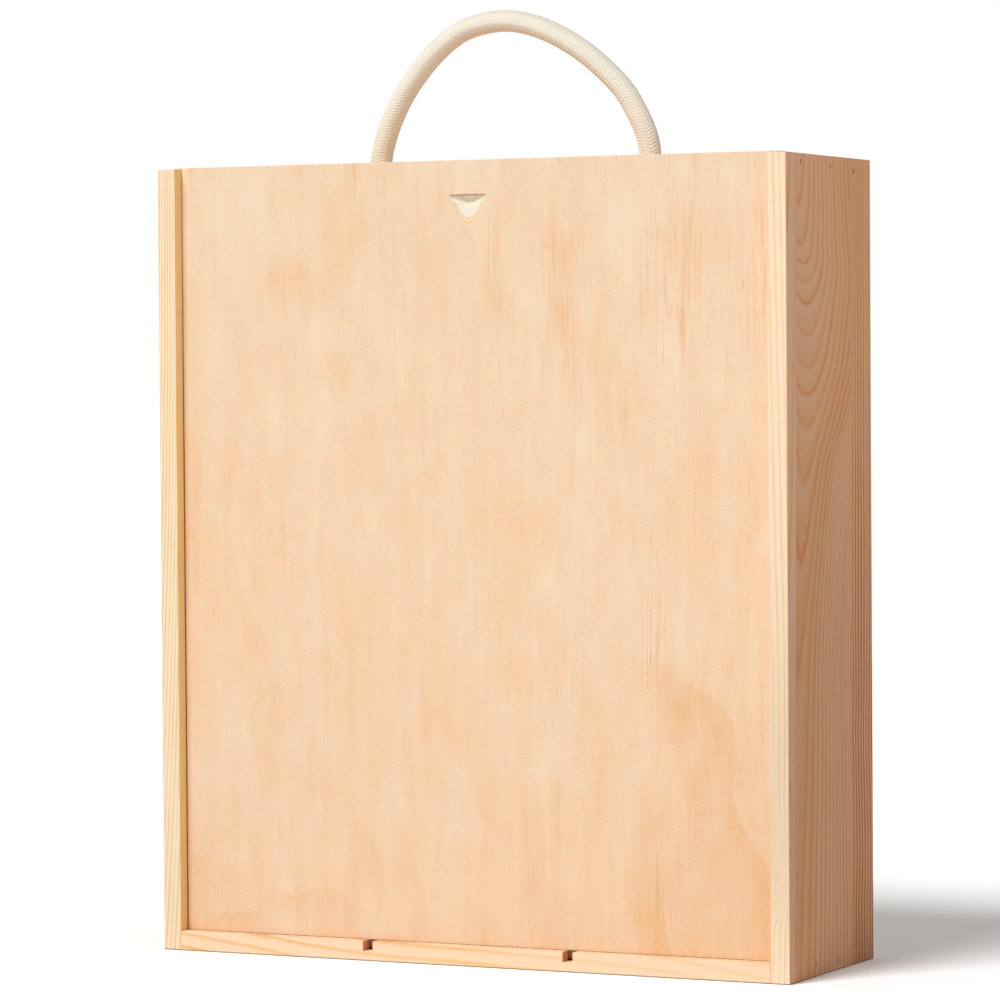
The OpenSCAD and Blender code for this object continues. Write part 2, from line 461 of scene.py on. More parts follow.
@dataclass(frozen=True)
class Pine:
    """Planed pine, pale on its front edges and warmer on its broad faces, whose colour is partly painted
    shade.
    """

    name: str
    cut: Cut
    heart: Heart
    front: Colour = srgb(249, 221, 187)
    front_line: Colour = srgb(242, 190, 130)
    # The broad colours are partly the faces' own warmer tone and partly painted shade, darker and more
    # saturated than the front edges.
    broad: Colour = srgb(222, 171, 131)
    broad_warm: Colour = srgb(216, 157, 103)
    broad_line: Colour = srgb(212, 130, 64)
    broad_pale: Colour = srgb(223, 179, 148)
    vein: Colour = srgb(210, 122, 48)
    end: Colour = srgb(206, 146, 98)
    # Painted light: a brighter, more golden colour on inner faces by the groove, standing in for warm light
    # bounced inside it.
    inner: Colour = srgb(255, 213, 139)
    grime: Colour = srgb(112, 58, 22)
    resin: Colour = srgb(150, 96, 54)
    warmth: Points = ((0.0, 0.0), (1.0, 0.0))
    # Painted shade along the grain: a brightness curve, mostly darker towards the foot, where the light falls
    # off.
    tone: Points = ((0.0, 1.0), (1.0, 1.0))
    force: Points = ((0.0, 1.0), (1.0, 1.0))
    gaps: float = 0.35
    line_share: float = 0.6
    line_depth: float = 0.9
    waver: float = 0.9
    bold: tuple[float, float] = (-9.0, 1.0)
    seams: tuple[tuple[float, float], ...] = ()
    seed: float = 0.0

    def material(self) -> Material:
        """The finish as a material.

        Returns:
            The material, with rings, fibres, resin flecks, glue seams, painted shade and painted bounce
            light.
        """
        paint = Paint(self.name)
        x, y, z = paint.millimetres()
        facing = paint.facing()
        edge_on = facing[1].ramp(0.5, 0.9)
        end_on = facing[self.cut.end_axis].ramp(0.6, 0.95)
        across, below, along = self.cut.read((x, y, z))
        run = along / self.cut.length
        rings, squareness = self._rings(paint, (across, below, along))
        bold = rings.bump_at(*self.bold) * squareness.ramp(0.15, 0.85, 0.1, 1.0)
        patch = paint.noise((across / 9, below / 9, along / 40 + self.seed), 1.0)
        strength = (1.0 + 1.2 * patch) * run.curve(self.force)
        late = self._late_wood(paint, rings, squareness.math("MAXIMUM", edge_on), bold) * strength
        phase = rings.math("FRACT")
        gap = phase.ramp(0.0, 0.16) * phase.fall(0.2, 0.6) * self.gaps
        fibre = paint.noise((across / 0.7, below / 0.7 + self.seed, along / 9), 3.0, 0.65)
        strand = paint.noise((across / 1.7 + self.seed, below / 1.7, along / 34), 2.0)
        scuff = paint.noise((across / 9, below / 9, along / 0.7 + self.seed), 2.0, 0.6)
        cloud = paint.noise((across / 14, below / 14, along / 60 - self.seed), 3.0)
        fleck = paint.noise((across / 1.1, below / 1.1 + self.seed, along / 3.0), 1.0).ramp(0.292, 0.32)
        warm = (rings / 30.0).curve(self.warmth) + cloud * 0.7 + strand * 0.9
        lines = paint.blend(edge_on, paint.blend(bold, self.broad_line, self.vein), self.front_line)
        # Painted light on the inner faces by the groove, strongest towards the front.
        hidden = below.ramp(SIZES.board - 0.4, SIZES.board - 0.05)
        hidden = hidden * (y + SIZES.depth / 2).ramp(9.0, 13.0, 0.9, 0.2)
        colour = paint.glaze(
            paint.blend(warm, self.broad, self.broad_warm),
            (edge_on, self.front),
            (gap * (1.0 - edge_on), self.broad_pale),
            (late, lines),
            (end_on * (0.75 - fibre), self.end),
            (hidden * (1.0 - edge_on) * (1.0 - end_on), self.inner),
            # Painted shade in the groove and a painted contact shadow at the foot.
            (self._grime((x, y, z)), self.grime),
            (fleck * (0.65 - 0.5 * edge_on), self.resin),
        )
        # The curve's term is painted shade along the grain; the noises are the wood's own tone.
        shade = run.curve(self.tone) + fibre * 0.16 + strand * 0.06 + cloud * 0.06 + scuff * 0.07
        for foot, top in self.seams:
            shade = shade * (1.0 - 0.16 * (across - (run * (top - foot) + foot)).bump_at(0.0, 0.35))
        colour = paint.scale(colour, shade)
        height = 0.5 + fibre * 0.9 + late * 0.15
        return paint.finish(colour, 0.62 - late * 0.06 + fibre * 0.1, height, 0.02, Specular_IOR_Level=0.2)

    def _rings(self, paint: Paint, spot: Spot) -> tuple[Value, Value]:
        """Counts the growth rings out from the tree's heart, with a slow and a quick waver.

        Args:
            paint: The material under construction.
            spot: Millimetres across the face, below the face, and along the grain.

        Returns:
            The count, which is whole where a ring ends, and how squarely the rings meet the face, 0 to 1.
        """
        across, below, along = spot
        run = along / self.cut.length
        spread = run.curve(self.heart.spread)
        reach = spread * (across - run.curve(self.heart.middle))
        deep = run.curve(self.heart.rings) + spread * below
        far = (reach * reach + deep * deep) ** 0.5
        slow = paint.noise((across / 22 + self.seed, below / 22, along / 90), 2.0)
        quick = paint.noise((across / 3.5, below / 3.5 + self.seed, along / 16), 2.0)
        return far - 0.12 + slow * self.waver + quick * 0.13, abs(reach) / (far + 0.01)

    def _late_wood(self, paint: Paint, rings: Value, square: Value, bold: Value) -> Value:
        """The dark late wood that ends each ring, stronger in some rings than in others.

        Args:
            paint: The material under construction.
            rings: The ring count.
            square: How squarely the rings meet the face, from 0 to 1.
            bold: One at the board's bold vein.

        Returns:
            How much of the late wood's colour shows.
        """
        phase = rings.math("FRACT")
        share = self.line_share * (0.4 + 0.6 * square) * (1.0 - bold * 0.25)
        line = phase.ramp(1.0 - share, 1.0 - share * 0.35) * phase.fall(1.0 - share * 0.28, 1.0)
        chance = paint.chance(rings.math("FLOOR") + self.seed * 7.0)
        strength = (0.45 + 0.65 * chance + bold * 1.2) * self.line_depth
        return (line * 0.85 + phase * phase * 0.14) * strength

    @staticmethod
    def _grime(spot: Spot) -> Value:
        """Painted shade inside the lid's groove, and a painted contact shadow along the foot, which show as
        thin dark lines.

        Args:
            spot: Millimetres across the box, towards its back and above its foot.

        Returns:
            How much of the painted shade's colour shows.
        """
        x, y, z = spot
        depth = y + SIZES.depth / 2
        inside = depth.ramp(SIZES.groove_front - 0.05, SIZES.groove_front + 0.05)
        inside = inside * depth.fall(SIZES.groove_back, SIZES.groove_back + 0.1)
        inner = SIZES.width / 2 - SIZES.board
        within = abs(x).fall(inner + SIZES.groove_bite, inner + SIZES.groove_bite + 0.5)
        low = z.fall(SIZES.board - 0.2, SIZES.board - 0.1) * within
        wide = abs(x).ramp(inner + 0.1, inner + 0.2) * within * z.ramp(*GROOVE_SHADE_FADES, 1.0, 0.45)
        foot = z.fall(0.15, 0.75)
        return 0.8 * (inside * low.math("MAXIMUM", wide)).math("MAXIMUM", foot)


@dataclass(frozen=True)
class Plywood:
    """Pale rotary-cut plywood with its face grain upright, seen on its face, its edges and in its notch."""

    name: str
    face_y: float
    inward: int
    pale: Colour = srgb(242, 217, 188)
    warm: Colour = srgb(237, 185, 132)
    hair: Colour = srgb(232, 166, 110)
    glue: Colour = srgb(240, 184, 118)
    core: Colour = srgb(231, 219, 202)
    cut: Colour = srgb(245, 232, 214)
    # The deepest veneer, made paler and warmer partly as painted light against the shade in the notch.
    deep: Colour = srgb(252, 238, 212)
    rim: Colour = srgb(236, 217, 190)
    # Painted light that pales the shade cast below the notch's straight edge.
    lifted: Colour = srgb(255, 247, 226)
    bruise: Colour = srgb(158, 94, 46)
    # Painted shade along the edges that run in the groove and behind the bottom lip.
    grime: Colour = srgb(114, 50, 10)
    # Turns on the lid's own figure and marks, and its painted shade and painted light near the lips.
    worn: float = 0.0
    layers: tuple[float, ...] = (0.62, 2.0, 3.38)
    seed: float = 0.0

    def material(self) -> Material:
        """The finish as a material.

        Returns:
            The material, with veneer contours, hairs, blotches, the layers below the face, and on the lid
            painted light and shade.
        """
        paint = Paint(self.name)
        x, y, z = paint.millimetres()
        run = z / SIZES.lid_top
        bend = paint.noise((x / 38 + self.seed, y / 40, z / 150), 2.0)
        slanted = x + bend * 9.0
        phase = (bend * 4.0 + x * 0.014 + run * 0.5).math("FRACT")
        blotch = paint.noise((x / 12, y / 15 + self.seed, z / 26), 4.0, 0.6, 0.5)
        broad = paint.noise((x / 34, y / 45 - self.seed, z / 60), 3.0)
        streak = paint.noise((slanted / 3.6 + self.seed, y / 4.5, z / 64), 3.0, 0.7)
        fibre = paint.noise((slanted / 0.55, y / 0.55, z / 3.2 + self.seed), 3.0, 0.75)
        pore = paint.noise((x / 0.45, y / 0.45, z / 0.8 + self.seed), 1.0)
        warm = phase * phase * phase.fall(0.9, 1.0) * 0.2 + self._contours(x, z)
        warm = warm + blotch * 1.25 + broad * 1.1 + streak * 0.95 + fibre * 1.7 + pore * 1.5
        corner = x.ramp(40.0, 120.0) * run.fall(0.05, 0.6) * 0.24
        warm = warm + 0.6 - run * 0.34 + self.worn * (self._patches(slanted, z, blotch) + corner)
        hairs = self._hairs(paint, (x, y, z), slanted)
        colour = paint.glaze(
            paint.blend(warm * 0.62, self.pale, self.warm),
            (hairs * 0.6, self.hair),
            *self._laid_open(paint, (x, y, z)),
            (self.worn * self._torn_line(paint, x, z), self.bruise),
            # Painted shade along the edges in the groove.
            (self.worn * self._rub(paint, (x, y, z)), self.grime),
        )
        # Painted light beside the side lips and just above the bottom lip, where the lips shade the lid, and
        # painted shade darker towards the foot.
        beside = (abs(x) - SIZES.width / 2 + SIZES.board).ramp(-5.5, -0.5) * x.ramp(-1.0, 1.0, 0.23, 0.06)
        low = z.fall(SIZES.board + 1.0, SIZES.board + 9.0) * 0.07
        shade = (0.99 + fibre * 0.06) * run.ramp(0.0, 0.6, 0.935, 1.0) * (1.0 + self.worn * (beside + low))
        colour = paint.scale(colour, shade)
        height = 0.5 + fibre * 0.8 - hairs * 0.4
        return paint.finish(colour, 0.58 + fibre * 0.1, height, 0.04, Specular_IOR_Level=0.35)

    def _hairs(self, paint: Paint, spot: Spot, slanted: Value) -> Value:
        """Fine orange hairs along the grain, in crowds, and on the lid in drawn streaks too.

        Args:
            paint: The material under construction.
            spot: Millimetres across the box, towards its back and above its foot.
            slanted: Millimetres across the box, wavering with the grain.

        Returns:
            How strongly a hair shows.
        """
        x, y, z = spot
        crowd = paint.noise((x / 17 - self.seed, y / 20, z / 45), 3.0, 0.6)
        crowd = (crowd + x * 0.0008 + z / SIZES.lid_top * 0.16).ramp(0.04, 0.26)
        drawn = self.worn * self._streaks(slanted, z)
        short = paint.noise((slanted / 0.75 + self.seed, y / 0.75, z / 11), 2.0, 0.5).ramp(0.07, 0.24)
        thin = paint.noise((slanted / 1.3 - self.seed, y / 1.3, z / 48), 1.0).ramp(0.12, 0.3)
        long = paint.noise((slanted / 1.2, y / 1.2, z / 46 + self.seed), 3.0, 0.6).ramp(0.0, 0.2)
        return short * (crowd * 0.7 + drawn * 0.5) + thin * (0.1 + crowd * 0.5) + drawn * long

    def _laid_open(self, paint: Paint, spot: Spot) -> list[tuple[Value, Value | Colour]]:
        """The veneers and glue lines under the face, where the thumb notch and the edges lay them open.

        Args:
            paint: The material under construction.
            spot: Millimetres across the box, towards its back and above its foot.

        Returns:
            Coats over the face's colour, in order.
        """
        x, y, z = spot
        depth = (y - self.face_y) * self.inward
        outer, middle, last = self.layers
        sawn = depth.ramp(0.03, 0.1) * depth.fall(last - 0.05, last + 0.05)
        crossing = paint.noise((x / 9, y / 0.3, z / 0.35), 2.0)
        seams = ((0.2, 0.26), *((layer, 0.15) for layer in self.layers))
        return [
            (sawn, paint.blend(0.5 + crossing * 1.6, self.core, self.cut)),
            (sawn * depth.fall(outer - 0.08, outer + 0.08), self.rim),
            (sawn * depth.ramp(1.3, middle), self.deep),
            # Painted light below the notch's straight edge.
            (0.8 * (sawn * z.ramp(SIZES.notch_z - 3.5, SIZES.notch_z - 2.4)), self.lifted),
            *((0.65 * sawn * depth.bump_at(seam, reach), self.glue) for seam, reach in seams),
        ]

    @staticmethod
    def _contours(x: Value, z: Value) -> Value:
        """Three edges where the veneer's figure steps from warm to pale: right, left and along the foot.

        Args:
            x: Millimetres across the box.
            z: Millimetres above its foot.

        Returns:
            How much warmer the veneer is.
        """
        run = z / SIZES.lid_top
        share = x / SIZES.width + 0.5
        right = x - run.curve((
            (0.0, 150.0), (0.12, 146.0), (0.17, 136.0), (0.22, 128.0), (0.28, 129.5), (0.335, 121.0),
            (0.36, 104.0), (0.42, 84.0), (0.6, 70.0), (1.0, 60.0),
        ))
        left = x - run.curve((
            (0.0, -60.0), (0.33, -87.0), (0.38, -99.0), (0.49, -120.0), (0.59, -125.0), (1.0, -135.0),
        ))
        foot = z - share.curve((
            (0.0, 10.0), (0.07, 14.0), (0.1, 18.5), (0.135, 18.8), (0.15, 23.0), (0.176, 29.8), (0.2, 27.5),
            (0.23, 29.2), (0.26, 31.0), (0.34, 20.0), (1.0, 0.0),
        ))
        warm = 0.44 * right.ramp(-44.0, -0.5) * right.fall(-0.4, 0.5) * run.fall(0.3, 0.44)
        warm = warm + 0.28 * left.ramp(-40.0, -0.8) * left.fall(-0.6, 0.8) * run.bump_at(0.45, 0.24)
        return warm + 0.34 * foot.ramp(-14.0, -0.3) * foot.fall(-0.3, 0.4) * share.fall(0.25, 0.36)

    @staticmethod
    def _patches(x: Value, z: Value, blotch: Value) -> Value:
        """Warmer patches.

        Args:
            x: Millimetres across the box.
            z: Millimetres above its foot.
            blotch: Noise that breaks the patches up.

        Returns:
            How much warmer the veneer is.
        """
        warm = 0.0
        # Each row: middle and reach across, middle and reach upwards, and strength.
        for middle, reach, height, rise, amount in (
            (-85, 34, 306, 26, 0.45), (-66, 24, 268, 18, 0.35), (100, 18, 124, 26, 0.3),
            (88, 13, 20, 28, 0.35), (46, 9, 300, 60, 0.25), (-118, 20, 214, 40, 0.25),
        ):
            warm = warm + x.bump_at(middle, reach) * z.bump_at(height, rise) * (amount + blotch * 1.2)
        return warm

    @staticmethod
    def _streaks(slanted: Value, z: Value) -> Value:
        """Where long orange streaks crowd together.

        Args:
            slanted: Millimetres across the box, wavering with the grain.
            z: Millimetres above its foot.

        Returns:
            How close together the streaks are.
        """
        crowd = 0.0
        # Each row: middle and reach across, middle and reach upwards, and strength.
        for middle, reach, height, rise, amount in (
            (102, 20, 306, 52, 0.8), (46, 13, 298, 58, 0.6), (12, 7, 312, 28, 0.6), (-95, 5, 294, 42, 0.7),
            (80, 12, 300, 32, 0.45), (90, 12, 148, 44, 0.8), (93, 15, 40, 50, 0.8), (-98, 8, 190, 34, 0.4),
            (34, 16, 30, 34, 0.4), (-30, 5, 92, 14, 0.6), (140, 14, 304, 48, 0.7),
        ):
            tall = abs(z - height).fall(rise * 0.35, rise)
            crowd = crowd + abs(slanted - middle).fall(reach * 0.3, reach) * tall * amount
        return crowd

    @staticmethod
    def _torn_line(paint: Paint, x: Value, z: Value) -> Value:
        """Torn fibres along the thumb notch's straight edge.

        Args:
            paint: The material under construction.
            x: Millimetres across the box.
            z: Millimetres above its foot.

        Returns:
            How much of the bruised colour shows.
        """
        fray = paint.noise((x / 0.9, 0.0, z / 0.7), 2.0, 0.6)
        line = (z - SIZES.notch_z - fray * 0.7).bump_at(0.2, 0.55)
        wide = abs(x).fall(SIZES.notch_reach - 0.4, SIZES.notch_reach + 0.3)
        return line * wide * (0.75 + fray * 2.0)

    @staticmethod
    def _rub(paint: Paint, spot: Spot) -> Value:
        """Painted shade where the sheet's edges run in the groove and behind the bottom lip, as a thin uneven
        dark line.

        Args:
            paint: The material under construction.
            spot: Millimetres across the box, towards its back and above its foot.

        Returns:
            How much of the painted shade's colour shows.
        """
        x, y, z = spot
        fray = paint.noise((x / 0.8, y / 0.8, z / 0.8), 2.0) * 0.5
        lip = SIZES.board
        slot = abs(abs(x) - SIZES.slot_x).fall(2.0, 6.0)
        above = (z - fray).ramp(lip - 1.2, lip - 0.6).math("MAXIMUM", slot)
        foot = (z + fray).fall(lip, lip + 0.3) * above
        edge = SIZES.width / 2 - SIZES.board
        sides = (abs(x) - fray).ramp(edge - 0.7, edge - 0.3) * (abs(x) + fray).fall(edge + 0.4, edge + 0.9)
        sides = sides * z.ramp(*GROOVE_SHADE_FADES, 1.0, 0.4)
        return (0.92 * foot).math("MAXIMUM", 0.85 * sides)


@dataclass(frozen=True)
class Cotton:
    """Natural cotton braid: stitches lean one way and the other from column to column."""

    name: str
    cream: Colour = srgb(244, 236, 220)
    # Painted shade in the braid's valleys and on the rope's underside.
    hollow: Colour = srgb(206, 160, 118)
    columns: int = 12
    stitch: float = 1.45
    lean: float = 0.85

    def material(self) -> Material:
        """The finish as a material.

        Returns:
            The material, which reads the rope's own attribute for its stitches.
        """
        paint = Paint(self.name)
        settings = {"attribute_type": "GEOMETRY", "attribute_name": "lay"}
        turn_cos, turn_sin, along = paint.split(paint.node("ShaderNodeAttribute", settings, output=1))
        around = turn_sin.math("ARCTAN2", turn_cos) * (self.columns / (2 * pi)) + self.columns
        ridge = braid_height(around, along * PER_METRE, self.stitch, self.lean)
        x, y, z = paint.millimetres()
        upward = paint.split(paint.node("ShaderNodeTexCoord", output=1))[2]
        # Painted shade: the tan colour gathers in the valleys and on faces turned downwards, and faces turned
        # upwards are darkened a little.
        under = upward.fall(-1.0, -0.1)
        fuzz = paint.noise((x / 0.25, y / 0.25, z / 0.25), 3.0, 0.7)
        cloud = paint.noise((x / 9, y / 9, z / 9), 2.0)
        valley = ridge.fall(0.1, 0.7)
        hollow = valley * (0.22 + under * 0.45) + under * 0.4 - fuzz * 0.3
        shade = 1.0 + fuzz * 0.1 + cloud * 0.1 - 0.16 * upward.ramp(0.1, 0.95)
        colour = paint.scale(paint.blend(hollow, self.cream, self.hollow), shade)
        gloss = {"Specular_IOR_Level": 0.12, "Sheen_Weight": 0.05}
        return paint.finish(colour, 0.92 + fuzz * 0.05, ridge + fuzz * 0.35, 0.1, **gloss)


@dataclass(frozen=True)
class DullSteel:
    """Plain steel of small nails, dulled and a little brown."""

    name: str
    bright: Colour = srgb(168, 96, 38)
    brown: Colour = srgb(124, 66, 22)
    metal: float = 0.2

    def material(self) -> Material:
        """The finish as a material.

        Returns:
            The material, with stains and fine scuffs.
        """
        paint = Paint(self.name)
        x, y, z = paint.millimetres()
        stain = paint.noise((x / 0.5, y / 0.5, z / 0.5), 4.0, 0.65)
        scuff = paint.noise((x / 0.12, y / 0.12, z / 0.6), 2.0)
        colour = paint.blend(0.45 + stain * 2.0, self.bright, self.brown)
        gloss = {"Metallic": self.metal, "Specular_IOR_Level": 0.15}
        return paint.finish(colour, 0.6 + stain * 0.4, 0.5 + scuff, 0.03, **gloss)


def braid_height(around: Value, along: Value, stitch: float, lean: float) -> Value:
    """Height of a braided surface.

    Args:
        around: The place round the rope, counted in columns.
        along: The place along the rope, in millimetres.
        stitch: Millimetres from one stitch to the next.
        lean: Stitches that each one climbs across its column.

    Returns:
        The height, from 0 in the valleys to 1 on the stitches.
    """
    column = around.math("FLOOR")
    place = around.math("FRACT") - 0.5
    way = 1.0 - 2.0 * (column * 0.5).math("FRACT").math("ROUND")
    turn = (along / stitch + place * way * lean) * pi
    crown = 1.0 - 1.4 * place * place
    return abs(turn.math("COSINE")) ** 0.55 * crown


def smooth_route(points: Sequence[Vector], steps: int) -> list[Vector]:
    """A smooth line through points.

    Args:
        points: The points to pass.
        steps: Pieces between each two points.

    Returns:
        The finer points, ends included.
    """
    ends = [points[0] * 2 - points[1], *points, points[-1] * 2 - points[-2]]
    route = []
    for a, b, c, d in zip(ends, ends[1:], ends[2:], ends[3:]):
        for k in range(steps):
            t = k / steps
            bow = (a * 2 - b * 5 + c * 4 - d) * t * t + (b * 3 - a - c * 3 + d) * t ** 3
            route.append((b * 2 + (c - a) * t + bow) * 0.5)
    return [*route, points[-1].copy()]


def route_length(route: Sequence[Vector]) -> float:
    """The length of a line of points."""
    return sum((b - a).length for a, b in zip(route, route[1:]))


class GrowthTree(Bench):
    """A Geometry Nodes tree with named inputs that turns a seed object into one plain mesh."""

    def __init__(self, name: str, inputs: dict[str, tuple[str, object]]) -> None:
        """Starts the tree.

        Args:
            name: The tree's name.
            inputs: Each input's socket type and first value, by name.
        """
        super().__init__(bpy.data.node_groups.new(name, "GeometryNodeTree"))
        self.tree.interface.new_socket("Geometry", in_out="OUTPUT", socket_type="NodeSocketGeometry")
        self.tree.interface.new_socket("Geometry", in_out="INPUT", socket_type="NodeSocketGeometry")
        self.keys: dict[str, str] = {}
        for label, (kind, value) in inputs.items():
            item = self.tree.interface.new_socket(label, in_out="INPUT", socket_type=kind)
            self.keys[label] = item.identifier
            if value is not None:
                item.default_value = value
        self.entry = self.tree.nodes.new("NodeGroupInput")

    def given(self, label: str) -> Value:
        """One of the tree's inputs."""
        return Value(self, self.entry.outputs[label])

    def store(self, geometry: Value, name: str, value: Value, kind: str = "FLOAT") -> Value:
        """Keeps a value on each point of the geometry.

        Args:
            geometry: The geometry.
            name: The name to keep the value under.
            value: The value.
            kind: The value's data type.

        Returns:
            The geometry with the value on it.
        """
        inputs = {"Geometry": geometry, "Name": name, "Value": value}
        settings = {"data_type": kind, "domain": "POINT"}
        return self.node("GeometryNodeStoreNamedAttribute", settings, inputs)

    def stored(self, name: str) -> Value:
        """The number kept under a name."""
        return self.node("GeometryNodeInputNamedAttribute", {"data_type": "FLOAT"}, {"Name": name})

    def placed(self, geometry: Value, height: Number, scale: Value | Place = (1.0, 1.0, 1.0)) -> Value:
        """Geometry scaled about its own start, then raised by a height."""
        inputs = {"Geometry": geometry, "Translation": self.join(0.0, 0.0, height), "Scale": scale}
        return self.node("GeometryNodeTransform", None, inputs)

    def close(self, geometry: Value) -> None:
        """Ends the tree: instances made real, and the finish set.

        Args:
            geometry: What the tree made.
        """
        solid = self.node("GeometryNodeRealizeInstances", None, {0: geometry})
        inputs = {"Geometry": solid, "Material": self.given("Finish")}
        self.node("NodeGroupOutput", None, {0: self.node("GeometryNodeSetMaterial", None, inputs)})

    def grow(self, name: str, seed: Object, finish: Material, **sizes: object) -> Object:
        """Runs the tree on a seed object.

        Args:
            name: The name of the new piece.
            seed: The object that carries the modifier, deleted afterwards.
            finish: The piece's material.
            sizes: Values of the tree's inputs, with _ for a space.

        Returns:
            The new piece, a plain mesh.
        """
        modifier = seed.modifiers.new("Grow", "NODES")
        modifier.node_group = self.tree
        modifier[self.keys["Finish"]] = finish
        for label, value in sizes.items():
            modifier[self.keys[label.replace("_", " ")]] = value
        graph = bpy.context.evaluated_depsgraph_get()
        mesh = bpy.data.meshes.new_from_object(seed.evaluated_get(graph), depsgraph=graph)
        seed.modifiers.remove(modifier)
        bpy.data.objects.remove(seed)
        return new_piece(name, mesh)


def new_piece(name: str, mesh: Mesh) -> Object:
    """Links a mesh into the scene as a piece.

    Args:
        name: The piece's name, which its mesh takes too.
        mesh: The mesh.

    Returns:
        The piece.
    """
    piece = bpy.data.objects.new(name, mesh)
    mesh.name = name
    bpy.context.scene.collection.objects.link(piece)
    return piece


def braid_tree(cotton: Cotton) -> GrowthTree:
    """The tree that sweeps a braided rope along a curve.

    Args:
        cotton: The braid's counts.

    Returns:
        The tree, with the rope's thickness, relief, step and sides as inputs.
    """
    tree = GrowthTree("braided_rope", {
        "Finish": ("NodeSocketMaterial", None),
        "Thickness": ("NodeSocketFloat", 0.01),
        "Relief": ("NodeSocketFloat", 0.0002),
        "Step": ("NodeSocketFloat", 0.0002),
        "Sides": ("NodeSocketInt", 72),
    })
    parameter = tree.node("GeometryNodeSplineParameter")
    length = Value(tree, parameter.socket.node.outputs["Length"])
    run = tree.node("GeometryNodeResampleCurve", {"mode": "LENGTH"},
                    {"Curve": tree.given("Geometry"), "Length": tree.given("Step")})
    run = tree.store(run, "along", length)
    radius = tree.given("Thickness") * 0.5 - tree.given("Relief") * 0.6
    ring = tree.node("GeometryNodeCurvePrimitiveCircle", {"mode": "RADIUS"},
                     {"Resolution": tree.given("Sides"), "Radius": radius})
    ring = tree.store(ring, "around", parameter)
    width = tree.node("GeometryNodeInputRadius")
    tube = tree.node("GeometryNodeCurveToMesh", None,
                     {"Curve": run, "Profile Curve": ring, "Scale": width, "Fill Caps": True})
    around = tree.stored("around")
    along = tree.stored("along")
    turn = around * (2 * pi)
    height = braid_height(around * cotton.columns + 0.001, along * PER_METRE, cotton.stitch, cotton.lean)
    tube = tree.store(tube, "lay", tree.join(turn.math("COSINE"), turn.math("SINE"), along), "FLOAT_VECTOR")
    offset = tree.scale(tree.node("GeometryNodeInputNormal"), (height - 0.4) * tree.given("Relief"))
    tube = tree.node("GeometryNodeSetPosition", None, {"Geometry": tube, "Offset": offset})
    tree.close(tree.node("GeometryNodeSetShadeSmooth", None, {"Geometry": tube, "Shade Smooth": True}))
    return tree


def route_curve(name: str, route: Sequence[Vector], widths: Sequence[float] | None = None) -> Object:
    """A curve object along a route.

    Args:
        name: The object's name.
        route: The points, in metres.
        widths: Each point's share of the full thickness, or None for the whole of it.

    Returns:
        The curve object.
    """
    data = bpy.data.curves.new(name, "CURVE")
    data.dimensions = "3D"
    spline = data.splines.new("POLY")
    spline.points.add(len(route) - 1)
    for index, (knot, place) in enumerate(zip(spline.points, route)):
        knot.co = (*place, 1.0)
        knot.radius = widths[index] if widths else 1.0
    curve = bpy.data.objects.new(name, data)
    bpy.context.scene.collection.objects.link(curve)
    return curve


